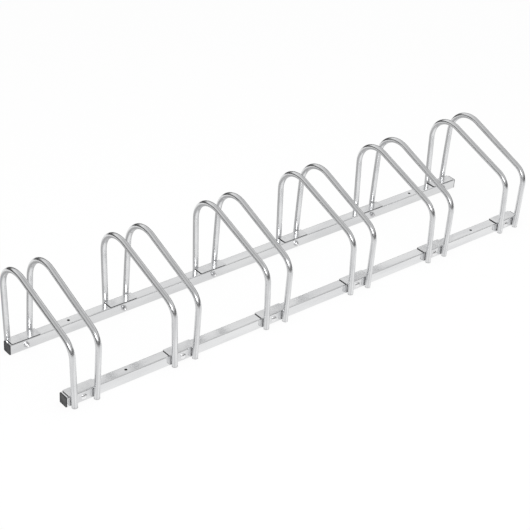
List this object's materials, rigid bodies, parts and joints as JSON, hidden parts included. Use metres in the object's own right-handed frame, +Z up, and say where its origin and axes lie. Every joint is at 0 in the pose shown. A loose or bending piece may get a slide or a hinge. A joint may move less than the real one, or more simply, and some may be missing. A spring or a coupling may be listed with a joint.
{
  "type": "floor bike rack",
  "caption": "Low floor rack: pairs of sloping bent-tube hoops stand across two square-tube rails and hold bicycle front wheels upright.",
  "frame": {"origin": "on the floor, under the middle of the rack", "axes": "+X along the rails, left end to right end as seen from the front; -Y towards the front, the low end of the hoops; +Z up"},
  "size_m": [1.6, 0.33, 0.2718],
  "materials": {
    "rail_zinc": "bright zinc plate on square steel tube, smooth, faint drawing lines along the tube",
    "hoop_zinc": "bright zinc plate on bent round steel tube, soft reflections",
    "bracket_zinc": "bright zinc plate on pressed steel angle",
    "fastener_zinc": "bright zinc plate on bolts, washers and nuts",
    "weld_zinc": "plated weld bead, slightly rougher",
    "cap_plastic": "dark charcoal moulded polyethylene, fine satin grain"
  },
  "bodies": {
    "root": {"rail_front": "rail_zinc", "rail_rear": "rail_zinc", "hoop_1_left": "hoop_zinc", "hoop_1_right": "hoop_zinc", "hoop_2_left": "hoop_zinc", "hoop_2_right": "hoop_zinc", "hoop_3_left": "hoop_zinc", "hoop_3_right": "hoop_zinc", "hoop_4_left": "hoop_zinc", "hoop_4_right": "hoop_zinc", "hoop_5_left": "hoop_zinc", "hoop_5_right": "hoop_zinc", "hoop_6_left": "hoop_zinc", "hoop_6_right": "hoop_zinc", "bracket_front_1": "bracket_zinc", "bracket_front_2": "bracket_zinc", "bracket_front_3": "bracket_zinc", "bracket_front_4": "bracket_zinc", "bracket_front_5": "bracket_zinc", "bracket_front_6": "bracket_zinc", "bracket_rear_1": "bracket_zinc", "bracket_rear_2": "bracket_zinc", "bracket_rear_3": "bracket_zinc", "bracket_rear_4": "bracket_zinc", "bracket_rear_5": "bracket_zinc", "bracket_rear_6": "bracket_zinc", "end_cap_front_left": "cap_plastic", "end_cap_front_right": "cap_plastic", "end_cap_rear_left": "cap_plastic", "end_cap_rear_right": "cap_plastic", "carriage_bolts_front": "fastener_zinc", "washers_front": "fastener_zinc", "hex_nuts_front": "fastener_zinc", "weld_beads_front": "weld_zinc", "carriage_bolts_rear": "fastener_zinc", "washers_rear": "fastener_zinc", "hex_nuts_rear": "fastener_zinc", "weld_beads_rear": "weld_zinc"}
  },
  "joints": []
}
